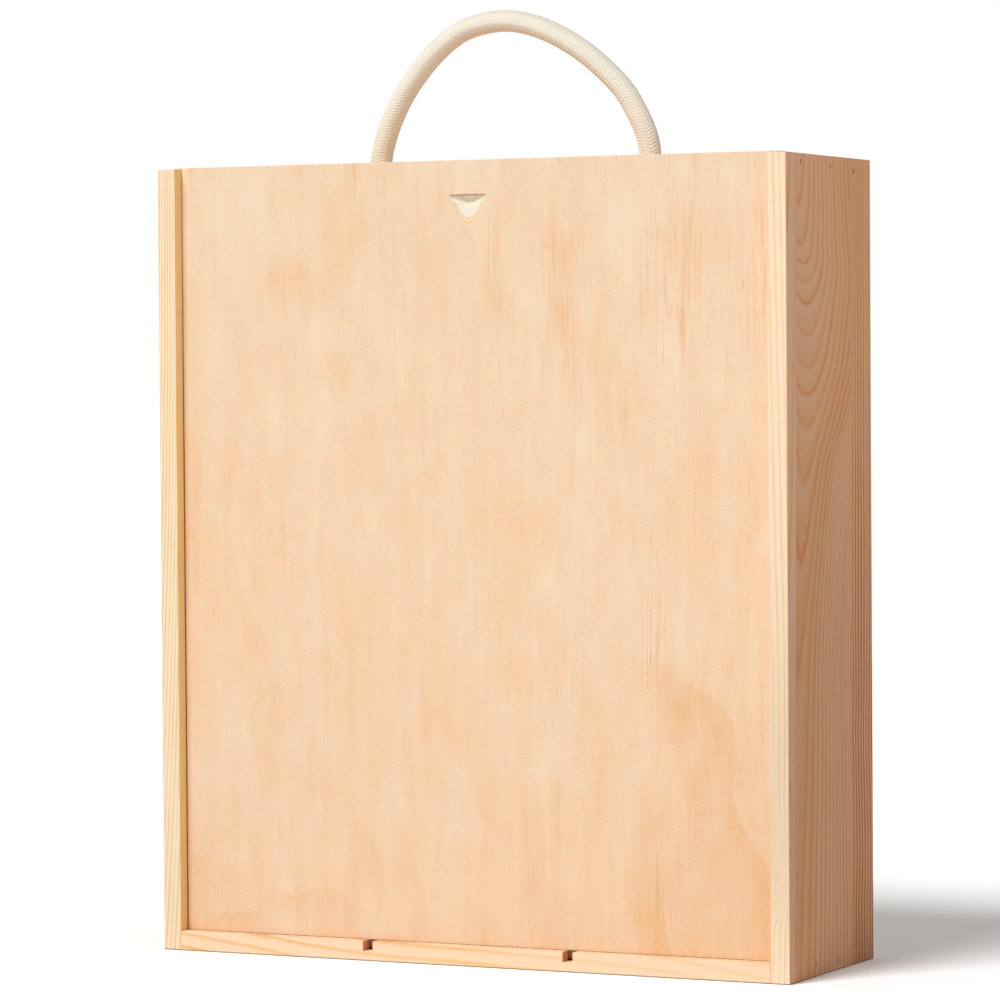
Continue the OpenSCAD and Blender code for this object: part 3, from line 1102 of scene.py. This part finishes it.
@dataclass
class RopeHandle:
    """The rope: an arch over the top, its two ends through the top board, and a knot under each hole."""

    arch: Points = (
        (-68, 0), (-66, 8), (-62.5, 17), (-56.5, 28), (-48.5, 38.5), (-38.5, 48.5), (-26.5, 56.5),
        (-13.5, 60), (-1, 60.4), (11.5, 57.6), (24, 52.2), (36, 44.8), (46.5, 36.2), (55.5, 27),
        (62, 16.5), (66.2, 7.5), (68, 0),
    )
    arch_steps: int = 6
    in_board: float = 355.5
    under_board: float = 350.9
    bend_rise: float = 5.0
    knot_middle: float = 341.2
    knot_ring: float = 5.5
    knot_reach: float = 3.7
    knot_rise: float = 5.0
    knot_points: int = 25
    knot_steps: int = 5
    knot_thickness: float = 8.3
    neck_points: int = 4
    tail_from: float = 0.86
    tail_end: float = 314.8
    relief: float = 0.22
    rope_step: float = 0.2
    rope_sides: int = 84
    knot_step: float = 0.3
    knot_sides: int = 60
    cotton: Cotton = field(default_factory=lambda: Cotton("cotton_braid"))

    def route(self) -> list[Vector]:
        """The rope's middle line.

        Returns:
            Its points from one knot to the other, in metres.
        """
        y = SIZES.hole_y
        heights = (self.under_board, self.in_board, SIZES.height)
        left = [Vector((-SIZES.hole_x, y, z)) for z in heights]
        over = [Vector((x, y, SIZES.pivot_z + rise)) for x, rise in self.arch]
        right = [Vector((SIZES.hole_x, y, z)) for z in reversed(heights)]
        return [point * MM for point in smooth_route([*left, *over, *right], self.arch_steps)]

    def knot_route(self, side: Side) -> list[Vector]:
        """The middle line of one overhand knot and its tail.

        Args:
            side: The knot's side of the box.

        Returns:
            Its points from the top board to the tail's end, in metres.
        """
        points = [Vector((0.0, 0.0, self.under_board - self.knot_middle)), Vector((-0.6, 0.0, 5.6))]
        for step in range(self.knot_points):
            tube = radians(180 + 30 * step)
            turn = radians(20 * step + 180)
            out = self.knot_ring + self.knot_reach * cos(tube)
            points.append(Vector((out * cos(turn), out * sin(turn), self.knot_rise * sin(tube))))
        drop = self.tail_end - self.knot_middle
        points += [Vector((0.4, 0.2, drop * f)) for f in (0.3, 0.5, 0.75, 1.0)]
        place = Vector((side.value * SIZES.hole_x, SIZES.hole_y, self.knot_middle))
        route = smooth_route(points, self.knot_steps)
        return [(Vector((p.x * side.value, p.y, p.z)) + place) * MM for p in route]

    def knot_widths(self, count: int) -> list[float]:
        """Each point's share of the rope's thickness: full at the neck and the tail's end, less between.

        Args:
            count: How many points the knot's line has.

        Returns:
            The shares.
        """
        share = self.knot_thickness / SIZES.rope
        swell = (1.0 - share) / (1.0 - self.tail_from)
        return [1.0 if k < self.neck_points else share + swell * max(0.0, k / count - self.tail_from)
                for k in range(count)]

    def build(self) -> list[Object]:
        """Makes the rope and both knots.

        Returns:
            The pieces.
        """
        tree = braid_tree(self.cotton)
        finish = self.cotton.material()
        whole = {"Thickness": SIZES.rope * MM, "Relief": self.relief * MM}
        route = self.route()
        rope = tree.grow("rope_handle", route_curve("rope_line", route), finish,
                         Step=self.rope_step * MM, Sides=self.rope_sides, **whole)
        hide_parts("rope_arch", "rope_in_left_hole", "rope_in_right_hole")
        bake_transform(rope)
        route_length(route)
        pieces = [rope]
        for side in Side:
            line = self.knot_route(side)
            curve = route_curve("knot_line", line, self.knot_widths(len(line)))
            knot = tree.grow(f"{side.label}_overhand_knot", curve, finish,
                             Step=self.knot_step * MM, Sides=self.knot_sides, **whole)
            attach(knot, "box")
            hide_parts(f"{side.label}_rope_knot")
            pieces.append(knot)
        return pieces


@dataclass(frozen=True)
class Easing:
    """Which edges of a board are rounded: lengths in metres, angles in degrees."""

    weld: float = 2e-6
    on_plane: float = 1e-5
    shortest: float = 0.003
    flat: float = 0.5
    sharp: float = 45.0
    segments: int = 3


EASING = Easing()


def eased_copy(node: str, name: str, ease: float, faces: Sequence[Face]) -> Object:
    """A CAD board with its sawn edges lightly rounded.

    Args:
        node: The CAD node.
        name: The new piece's name.
        ease: The rounding, in millimetres.
        faces: The board's outer faces. An edge where two of them meet is rounded.

    Returns:
        The new piece.
    """
    low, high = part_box(node)
    planes = [(f.value[0], (high if f.value[1] else low)[f.value[0]]) for f in faces]
    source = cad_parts[node]
    work = bmesh.new()
    work.from_mesh(source.data)
    work.transform(source.matrix_world)
    bmesh.ops.remove_doubles(work, verts=work.verts, dist=EASING.weld)
    bmesh.ops.dissolve_limit(work, angle_limit=radians(EASING.flat), verts=work.verts, edges=work.edges)
    chosen = []
    for edge in work.edges:
        if edge.calc_length() < EASING.shortest or not edge.is_manifold:
            continue
        ends = [v.co for v in edge.verts]
        touched = sum(all(abs(end[axis] - at) < EASING.on_plane for end in ends) for axis, at in planes)
        if touched >= 2 and edge.calc_face_angle() >= radians(EASING.sharp):
            chosen.append(edge)
    bmesh.ops.bevel(work, geom=chosen, offset=ease * MM, offset_type="OFFSET", segments=EASING.segments,
                    profile=0.5, affect="EDGES", clamp_overlap=True)
    mesh = bpy.data.meshes.new(name)
    work.to_mesh(mesh)
    work.free()
    return new_piece(name, mesh)


def dress_board(
    node: str, name: str, body: str, finish: Material, ease: float, faces: Sequence[Face]
) -> Object:
    """Makes an eased board, gives it its finish and seats it in the frame.

    Args:
        node: The CAD node that it stands for.
        name: The piece's name.
        body: The body that it rides on.
        finish: Its material.
        ease: The rounding of its outer edges, in millimetres.
        faces: The outer faces whose edges are rounded.

    Returns:
        The piece.
    """
    piece = eased_copy(node, name, ease, faces)
    piece.data.materials.clear()
    piece.data.materials.append(finish)
    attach(piece, body)
    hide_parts(node)
    return piece


@dataclass
class SideBoard:
    """One side board, glued up from a front strip, a core and a rear strip."""

    side: Side
    ease: float = 0.4

    def build(self) -> list[Object]:
        """Makes the three strips.

        Returns:
            The pieces.
        """
        name = self.side.label
        ends = (Face.LEFT, Face.RIGHT, Face.FOOT, Face.TOP)
        strips = (
            ("front_strip", self.front_finish(), (*ends, Face.FRONT)),
            ("core", self.core_finish(), ends),
            ("rear_strip", self.rear_finish(), (*ends, Face.BACK)),
        )
        return [
            dress_board(f"{name}_side_{strip}", f"{name}_{strip}_board", "box",
                        finish.material(), self.ease, faces)
            for strip, finish, faces in strips
        ]

    @property
    def cut(self) -> Cut:
        """How this side's boards were cut."""
        return Cut.RIGHT_SIDE if self.side is Side.RIGHT else Cut.LEFT_SIDE

    @property
    def front_seam(self) -> tuple[float, float]:
        """Where the front strip's glue line runs, at the foot and at the top."""
        return (SIZES.front_strip_foot, SIZES.front_strip_top)

    @property
    def rear_seam(self) -> tuple[float, float]:
        """Where the rear strip's glue line runs."""
        place = SIZES.depth - SIZES.rear_strip
        return (place, place)

    def front_finish(self) -> Pine:
        """Fine upright stripes on the front edge: close together on the left board, few on the right.

        Returns:
            The finish.
        """
        if self.side is Side.LEFT:
            heart = Heart(
                middle=((0, 0), (1, 0)),
                rings=((0, 14.5), (0.33, 10.6), (0.67, 7.5), (1, 6.2)),
                spread=((0, 0.42), (1, 0.72)),
            )
            return Pine(
                "pine_left_edge", self.cut, heart, seams=(self.front_seam,), seed=3.1, waver=0.3,
                line_share=0.68, line_depth=1.3, front=srgb(250, 229, 198), front_line=srgb(243, 198, 140),
                tone=((0, 0.9), (0.3, 0.93), (0.6, 0.97), (1, 0.985)),
            )
        heart = Heart(
            middle=((0, 0), (1, 0)),
            rings=((0, 3.0), (0.08, 3.2), (0.13, 4.6), (0.2, 6.6), (0.3, 7.2), (0.5, 7.0), (1, 5.8)),
            spread=((0, 0.36), (0.07, 0.4), (0.12, 0.75), (0.18, 0.7), (0.26, 0.4), (1, 0.34)),
        )
        return Pine(
            "pine_right_edge", self.cut, heart, seams=(self.front_seam,), seed=8.4, waver=0.25,
            line_share=0.5, line_depth=0.7, front=srgb(249, 225, 194), front_line=srgb(243, 196, 140),
            broad=srgb(225, 174, 136), broad_warm=srgb(221, 166, 124), broad_line=srgb(198, 134, 86),
            tone=((0, 0.97), (0.1, 0.87), (0.25, 0.835), (0.45, 0.91), (0.65, 0.97), (1, 0.99)),
        )

    def core_finish(self) -> Pine:
        """Arches that hug the front glue line above, and straighter lines below.

        Returns:
            The finish.
        """
        seams = (self.front_seam, self.rear_seam)
        if self.side is Side.LEFT:
            heart = Heart(
                middle=((0, 52), (0.3, 46), (0.6, 40), (1, 30)),
                rings=((0, 3.0), (0.3, 6.0), (0.6, 8.5), (0.8, 12), (1, 13.5)),
                spread=((0, 0.26), (0.5, 0.3), (1, 0.38)),
            )
            warmth = ((0, 0.2), (0.4, 0.6), (0.6, 0.1), (1, 0.0))
            return Pine("pine_left_core", self.cut, heart, warmth=warmth, seed=5.2, seams=seams)
        heart = Heart(
            middle=((0, 0), (0.2, 6), (0.4, 11), (0.52, 15), (0.61, 19), (0.72, 23), (0.83, 22), (0.9, 15),
                    (1, 12)),
            rings=((0, 15.6), (0.2, 15.4), (0.4, 15), (0.516, 14), (0.606, 13), (0.669, 12), (0.742, 10),
                   (0.82, 8), (0.868, 6), (0.891, 5), (1, 3.2)),
            spread=((0, 0.31), (0.25, 0.36), (0.5, 0.41), (0.6, 0.38), (0.7, 0.27), (0.8, 0.235), (1, 0.25)),
        )
        return Pine(
            "pine_right_core", self.cut, heart, seams=seams, seed=1.7, waver=0.3, bold=(16.0, 2.8),
            warmth=((0, 0.3), (0.3, 0.4), (0.42, 0.65), (0.5, 0.95), (0.56, 0.9), (0.62, 0.15), (1, 0.0)),
            tone=((0, 0.985), (0.06, 0.885), (0.12, 0.84), (0.25, 0.825), (0.45, 0.86), (0.65, 0.94), (1, 1)),
            force=((0, 1.15), (0.5, 1.15), (0.75, 0.85), (0.9, 0.9), (1, 0.6)),
        )

    def rear_finish(self) -> Pine:
        """Strong close lines with a slow waver.

        Returns:
            The finish.
        """
        shift = 0.0 if self.side is Side.RIGHT else 9.0
        bends = (
            (0, 12), (0.033, 12.4), (0.07, 12.3), (0.11, 13.3), (0.165, 13.6), (0.235, 13.2), (0.28, 12.7),
            (0.33, 13.4), (0.5, 14), (1, 16),
        )
        middle = tuple((run, place + shift) for run, place in bends)
        heart = Heart(middle, rings=((0, 1), (1, 2)), spread=((0, 0.305), (1, 0.31)))
        return Pine(
            f"pine_{self.side.label}_rear", self.cut, heart, seams=(self.rear_seam,), seed=2.3 + shift,
            line_share=0.72, line_depth=1.5, gaps=0.5,
            broad=srgb(224, 165, 114), broad_warm=srgb(214, 151, 94), broad_line=srgb(190, 104, 34),
            tone=((0, 0.78), (0.1, 0.83), (0.25, 0.83), (0.45, 0.87), (0.65, 0.93), (1, 0.955)),
            force=((0, 0.9), (0.3, 1.3), (0.5, 1.05), (0.65, 0.7), (0.8, 0.4), (1, 0.38)),
        )


@dataclass
class CrossBoards:
    """The top board with its rope holes, and the bottom board whose front edge shows under the lid."""

    ease: float = 0.35

    def build(self) -> list[Object]:
        """Makes both boards.

        Returns:
            The pieces.
        """
        light = {
            "broad": srgb(240, 206, 166), "broad_warm": srgb(236, 193, 144), "broad_line": srgb(220, 156, 96),
        }
        top_heart = Heart(
            middle=((0, 30), (1, 58)),
            rings=((0, 9), (0.5, 12), (1, 16)),
            spread=((0, 0.34), (1, 0.3)),
        )
        foot_heart = Heart(
            middle=((0, -93.7), (0.123, -98.5), (0.308, -104.6), (0.77, -110.6), (0.92, -116.7), (1, -120)),
            rings=((0, 0), (1, 1)),
            spread=((0, 0.165), (1, 0.165)),
        )
        top = Pine("pine_top", Cut.TOP_FACE, top_heart, seed=6.6, warmth=((0, 0.5), (1, 0.1)), **light)
        foot = Pine(
            "pine_foot", Cut.FOOT_LIP, foot_heart, seed=4.5, line_share=0.42, line_depth=1.2, waver=0.35,
            # The foot's end grain is a saturated orange, partly as painted warm bounce light inside the
            # divider slots.
            front=srgb(244, 213, 180), front_line=srgb(238, 180, 112), end=srgb(216, 140, 76),
            tone=((0, 0.975), (1, 0.97)),
            force=((0, 1), (0.3, 1), (0.5, 0.8), (0.6, 0.5), (0.75, 0.35), (1, 0.3)),
            **light,
        )
        outer = (Face.FRONT, Face.TOP, Face.FOOT)
        boards = (("top_board", "top_end_board", top), ("bottom_board", "foot_board", foot))
        return [
            dress_board(node, name, "box", finish.material(), self.ease, outer)
            for node, name, finish in boards
        ]


@dataclass
class PlywoodPanels:
    """The sliding lid with its thumb notch, the back panel and the two dividers."""

    lid_ease: float = 0.25
    panel_ease: float = 0.2

    def build(self) -> list[Object]:
        """Makes the four panels.

        Returns:
            The pieces.
        """
        every = tuple(Face)
        lid = Plywood("plywood_lid", SIZES.lid_face, 1, worn=1.0).material()
        back = Plywood("plywood_back", SIZES.depth / 2, -1, seed=9.3).material()
        pieces = [
            dress_board("sliding_lid", "lid_panel", "lid", lid, self.lid_ease, every),
            dress_board("back_panel", "back_sheet", "box", back, self.panel_ease, every),
        ]
        heart = Heart(((0, 40), (1, 52)), ((0, 8), (1, 14)), ((0, 0.3), (1, 0.34)))
        for side in Side:
            finish = Pine(
                f"pine_{side.label}_divider", Cut.RIGHT_SIDE, heart, seed=11.0 + side.value,
                broad=srgb(234, 194, 150), broad_warm=srgb(230, 182, 130), broad_line=srgb(214, 148, 88),
            )
            pieces.append(dress_board(f"divider_{side.label}", f"{side.label}_divider_board",
                                      f"{side.label}_divider", finish.material(),
                                      self.lid_ease, every))
        return pieces


def nail_tree() -> GrowthTree:
    """The tree that sets a row of headed nails.

    Returns:
        The tree, with the row's start, step and turn and the nail's sizes as inputs.
    """
    tree = GrowthTree("nail_row", {
        "Finish": ("NodeSocketMaterial", None),
        "Count": ("NodeSocketInt", 3),
        "Start": ("NodeSocketVector", (0.0, 0.0, 0.0)),
        "Step": ("NodeSocketVector", (0.0, 0.03, 0.0)),
        "Shift": ("NodeSocketVector", (0.0, 0.0, 0.0)),
        "Turn": ("NodeSocketRotation", (0.0, 0.0, 0.0)),
        "Shank": ("NodeSocketFloat", 0.0014),
        "Head": ("NodeSocketFloat", 0.0021),
        "Head Depth": ("NodeSocketFloat", 0.0006),
        "Length": ("NodeSocketFloat", 0.025),
    })
    depth = tree.given("Head Depth")
    length = tree.given("Length")
    radius = tree.given("Shank") * 0.5
    parts = []
    for point, reach, foot in (
        (0.0001, length * 0.1, length * -1.0), (radius, length * 0.9 - depth * 0.5, length * -0.9),
    ):
        cone = tree.node("GeometryNodeMeshCone", None,
                         {"Vertices": 16, "Radius Top": radius, "Radius Bottom": point, "Depth": reach})
        parts.append(tree.placed(cone, foot))
    dome = tree.node("GeometryNodeMeshUVSphere", None,
                     {"Segments": 20, "Rings": 10, "Radius": tree.given("Head") * 0.5})
    parts.append(tree.placed(dome, depth * -0.5, tree.join(1.0, 1.0, depth / tree.given("Head"))))
    joined = tree.tree.nodes.new("GeometryNodeJoinGeometry")
    for part in parts:
        tree.tree.links.new(part.socket, joined.inputs[0])
    nail = tree.node("GeometryNodeSetShadeSmooth", None,
                     {"Geometry": Value(tree, joined.outputs[0]), "Shade Smooth": True})
    count = tree.given("Count")
    line = tree.node("GeometryNodeMeshLine", {"mode": "OFFSET"},
                     {"Count": count, "Start Location": tree.given("Start"), "Offset": tree.given("Step")})
    place = tree.node("GeometryNodeInputIndex") / (count - 1.0)
    moved = tree.scale(tree.given("Shift"), 1.0 - abs(2.0 * place - 1.0))
    line = tree.node("GeometryNodeSetPosition", None, {"Geometry": line, "Offset": moved})
    tree.close(tree.node("GeometryNodeInstanceOnPoints", None,
                         {"Points": line, "Instance": nail, "Rotation": tree.given("Turn")}))
    return tree


@dataclass
class Nails:
    """The headed nails at the four corners and the pins through the back."""

    corner_count: int = 3
    back_count: int = 4
    scatter: float = 1.0
    top_depths: tuple[float, float, float] = (17.0, 78.0, 3.5)
    foot_depths: tuple[float, float, float] = (30.0, 81.0, 0.0)
    pin_reach: float = 127.5
    pin_height: float = 2.25
    pin_shank: float = 1.2
    pin_head: float = 1.8
    pin_length: float = 18.0
    steel: DullSteel = field(default_factory=lambda: DullSteel("dull_nail_steel"))
    dusty_steel: DullSteel = field(default_factory=lambda: DullSteel(
        "dusty_nail_steel", bright=srgb(206, 136, 84), brown=srgb(184, 112, 62), metal=0.0))

    def build(self) -> list[Object]:
        """Makes the six rows.

        Returns:
            The pieces, one for each CAD node.
        """
        tree = nail_tree()
        finish = self.steel.material()
        dusty = self.dusty_steel.material()
        corners = (
            ("top", SIZES.height - SIZES.board / 2, finish, self.top_depths),
            ("bottom", SIZES.board / 2, dusty, self.foot_depths),
        )
        pieces = []
        for side in Side:
            face = side.value * (SIZES.width / 2 - SIZES.nail_sink)
            turn = (0.0, side.value * pi / 2, 0.0)
            for label, middle, steel, (first, last, shift) in corners:
                reach = (last - first) / (self.corner_count - 1)
                start = (face * MM, (first - SIZES.depth / 2) * MM, (middle + self.scatter) * MM)
                step = (0.0, reach * MM, -self.scatter * MM)
                pieces.append(self._row(tree, steel, f"{label}_{side.label}_nails", Count=self.corner_count,
                                        Start=start, Step=step, Turn=turn, Shift=(0.0, shift * MM, 0.0)))
        gap = 2 * self.pin_reach / (self.back_count - 1)
        for label, height in (("top", SIZES.height - self.pin_height), ("bottom", self.pin_height)):
            start = (-self.pin_reach * MM, (SIZES.depth / 2 - SIZES.nail_sink) * MM, height * MM)
            pieces.append(self._row(tree, finish, f"back_pins_{label}", Count=self.back_count, Start=start,
                                    Step=(gap * MM, 0.0, 0.0), Turn=(-pi / 2, 0.0, 0.0),
                                    Shank=self.pin_shank * MM, Head=self.pin_head * MM,
                                    Length=self.pin_length * MM))
        return pieces

    @staticmethod
    def _row(tree: GrowthTree, finish: Material, node: str, **sizes: object) -> Object:
        """One row of nails in place of its CAD node.

        Args:
            tree: The nail tree.
            finish: The nails' material.
            node: The CAD node that the row replaces.
            sizes: The tree's inputs, such as where the first head's outer face is, in metres.

        Returns:
            The piece.
        """
        seed = new_piece("nail_seed", bpy.data.meshes.new("nail_seed"))
        row = tree.grow(f"{node}_row", seed, finish, **sizes)
        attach(row, "box")
        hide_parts(node)
        return row


@dataclass
class Studio:
    """A plain white studio: the camera, one broad soft lamp, an even room light and a pale floor."""

    camera_place: Place = (0.9184, -1.8702, 0.2658)
    camera_turn: Place = (88.4, 0.393, 26.29)
    lens: float = 164.6
    sensor: float = 36.0
    nearest: float = 0.05
    farthest: float = 200.0
    lamp_from: Place = (-0.19, -0.52, 0.82)
    lamp_strength: float = 2.35
    lamp_softness: float = 20.0
    room_light: float = 0.36
    floor_grey: float = 0.96
    floor_glow: float = 0.085
    floor_radius: float = 60.0
    floor_sides: int = 64

    def build_camera(self) -> None:
        """Sets the camera at the photograph's view."""
        data = bpy.data.cameras.new("camera")
        data.lens = self.lens
        data.sensor_width = self.sensor
        data.clip_start = self.nearest
        data.clip_end = self.farthest
        camera = bpy.data.objects.new("camera", data)
        camera.location = self.camera_place
        camera.rotation_euler = [radians(angle) for angle in self.camera_turn]
        bpy.context.scene.collection.objects.link(camera)
        bpy.context.scene.camera = camera

    def build_lights(self) -> None:
        """Adds the lamp and the even room light."""
        data = bpy.data.lights.new("soft_lamp", "SUN")
        data.energy = self.lamp_strength
        data.angle = radians(self.lamp_softness)
        lamp = bpy.data.objects.new("soft_lamp", data)
        lamp.rotation_euler = Vector(self.lamp_from).to_track_quat("Z", "Y").to_euler()
        bpy.context.scene.collection.objects.link(lamp)
        world = bpy.data.worlds.new("white_room")
        world.use_nodes = True
        world.node_tree.nodes.clear()
        bench = Bench(world.node_tree)
        white = (1.0, 1.0, 1.0, 1.0)
        room = bench.node("ShaderNodeBackground", None, {"Color": white, "Strength": self.room_light})
        seen = bench.node("ShaderNodeBackground", None, {"Color": white, "Strength": 1.0})
        mixed = bench.node("ShaderNodeMixShader", None, {0: self._seen(bench), 1: room, 2: seen})
        bench.node("ShaderNodeOutputWorld", None, {0: mixed})
        bpy.context.scene.world = world

    def build_floor(self) -> None:
        """Lays a wide pale floor that keeps the box's shadow."""
        mesh = bpy.data.meshes.new("studio_floor")
        work = bmesh.new()
        bmesh.ops.create_circle(work, cap_ends=True, segments=self.floor_sides, radius=self.floor_radius)
        work.to_mesh(mesh)
        work.free()
        floor = new_piece("studio_floor", mesh)
        material = bpy.data.materials.new("pale_floor")
        material.use_nodes = True
        material.node_tree.nodes.clear()
        bench = Bench(material.node_tree)
        diffuse = bench.node("ShaderNodeBsdfDiffuse", None, {"Color": (*[self.floor_grey] * 3, 1.0)})
        glow = bench.node("ShaderNodeEmission", None, {"Strength": self._seen(bench) * self.floor_glow})
        surface = bench.node("ShaderNodeAddShader", None, {0: diffuse, 1: glow})
        bench.node("ShaderNodeOutputMaterial", None, {0: surface})
        mesh.materials.append(material)

    @staticmethod
    def _seen(bench: Bench) -> Value:
        """Tells the rays that see from those that only light.

        Args:
            bench: The tree.

        Returns:
            One for rays that the camera, a gloss or a clear body sends.
        """
        first = bench.node("ShaderNodeLightPath")
        outputs = first.socket.node.outputs
        glossy = Value(bench, outputs["Is Glossy Ray"])
        clear = Value(bench, outputs["Is Transmission Ray"])
        return first.math("MAXIMUM", glossy).math("MAXIMUM", clear)


def main() -> None:
    """Builds the studio and the box, and reports each piece."""
    logging.basicConfig(level=logging.INFO, format="%(name)s: %(message)s")
    bpy.context.scene.view_settings.view_transform = "Standard"
    studio = Studio()
    studio.build_camera()
    sides = [SideBoard(side) for side in Side]
    for assembly in (RopeHandle(), *sides, CrossBoards(), PlywoodPanels(), Nails()):
        for piece in assembly.build():
            faces = len(piece.data.polygons)
            LOG.info("%s: %s, %d faces", type(assembly).__name__, piece.name, faces)
    studio.build_lights()
    studio.build_floor()


if __name__ == "__main__":
    main()
